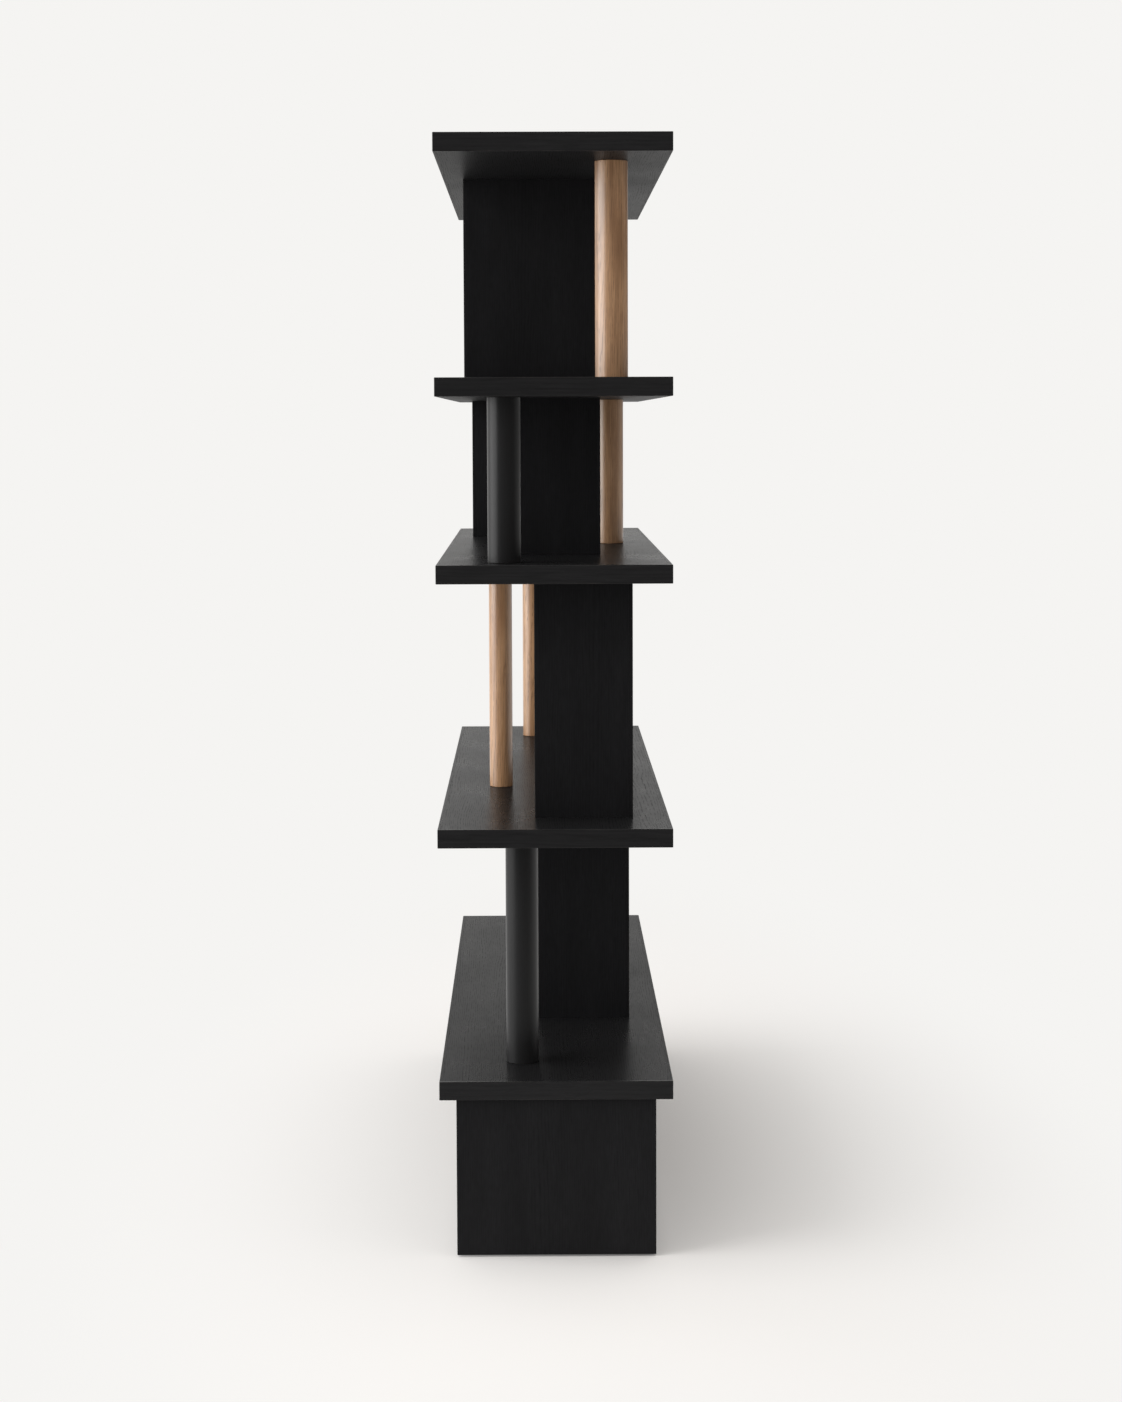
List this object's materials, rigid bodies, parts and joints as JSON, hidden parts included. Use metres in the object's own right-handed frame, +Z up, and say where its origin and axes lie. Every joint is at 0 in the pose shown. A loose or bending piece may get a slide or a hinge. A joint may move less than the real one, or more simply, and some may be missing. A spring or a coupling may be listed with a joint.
{
  "type": "bookshelf",
  "caption": "Open bookshelf: long black shelves held apart by staggered upright panels and round black or oak posts, standing on a closed plinth.",
  "frame": {"origin": "on the floor under the middle of the bookshelf", "axes": "+Z up, +X along the shelves towards the end that the picture shows, +Y across the shelves"},
  "size_m": [1.5, 0.35, 1.672],
  "materials": {
    "black_stained_oak": "black stain with open grain, satin",
    "natural_oak": "oiled natural oak, satin",
    "plain_timber": "planed, unfinished",
    "beech_dowel": "turned, unfinished",
    "zinc_steel": "zinc plated",
    "brass_sleeve": "turned",
    "felt": "pressed wool felt"
  },
  "bodies": {
    "root": {"base_cleat_left": "plain_timber", "base_cleat_right": "plain_timber", "base_end_far": "black_stained_oak", "base_end_near": "black_stained_oak", "base_rib_far": "plain_timber", "base_rib_near": "plain_timber", "base_screws": "zinc_steel", "base_side_left": "black_stained_oak", "base_side_right": "black_stained_oak", "bottom_shelf": "black_stained_oak", "bottom_shelf_end_lippings": "black_stained_oak", "bottom_shelf_side_lippings": "black_stained_oak", "corner_blocks": "plain_timber", "felt_pads": "felt", "level_1_black_post": "black_stained_oak", "level_1_far_panel": "black_stained_oak", "level_1_far_panel_lippings": "black_stained_oak", "level_1_near_panel": "black_stained_oak", "level_1_near_panel_lippings": "black_stained_oak", "level_1_oak_post": "natural_oak", "level_2_far_panel": "black_stained_oak", "level_2_far_panel_lippings": "black_stained_oak", "level_2_near_panel": "black_stained_oak", "level_2_near_panel_lippings": "black_stained_oak", "level_2_oak_post_1": "natural_oak", "level_2_oak_post_2": "natural_oak", "level_3_black_post": "black_stained_oak", "level_3_narrow_panel": "black_stained_oak", "level_3_narrow_panel_lippings": "black_stained_oak", "level_3_oak_post": "natural_oak", "level_3_wide_panel": "black_stained_oak", "level_3_wide_panel_lippings": "black_stained_oak", "level_4_black_post": "black_stained_oak", "level_4_narrow_panel": "black_stained_oak", "level_4_narrow_panel_lippings": "black_stained_oak", "level_4_oak_post": "natural_oak", "level_4_wide_panel": "black_stained_oak", "level_4_wide_panel_lippings": "black_stained_oak", "lower_shelf": "black_stained_oak", "lower_shelf_end_lippings": "black_stained_oak", "lower_shelf_side_lippings": "black_stained_oak", "middle_shelf": "black_stained_oak", "middle_shelf_end_lippings": "black_stained_oak", "middle_shelf_side_lippings": "black_stained_oak", "panel_dowels": "beech_dowel", "post_studs": "zinc_steel", "rib_dowels": "beech_dowel", "stud_sleeves": "brass_sleeve", "top_shelf": "black_stained_oak", "top_shelf_end_lippings": "black_stained_oak", "top_shelf_side_lippings": "black_stained_oak", "upper_shelf": "black_stained_oak", "upper_shelf_end_lippings": "black_stained_oak", "upper_shelf_side_lippings": "black_stained_oak"}
  },
  "joints": []
}
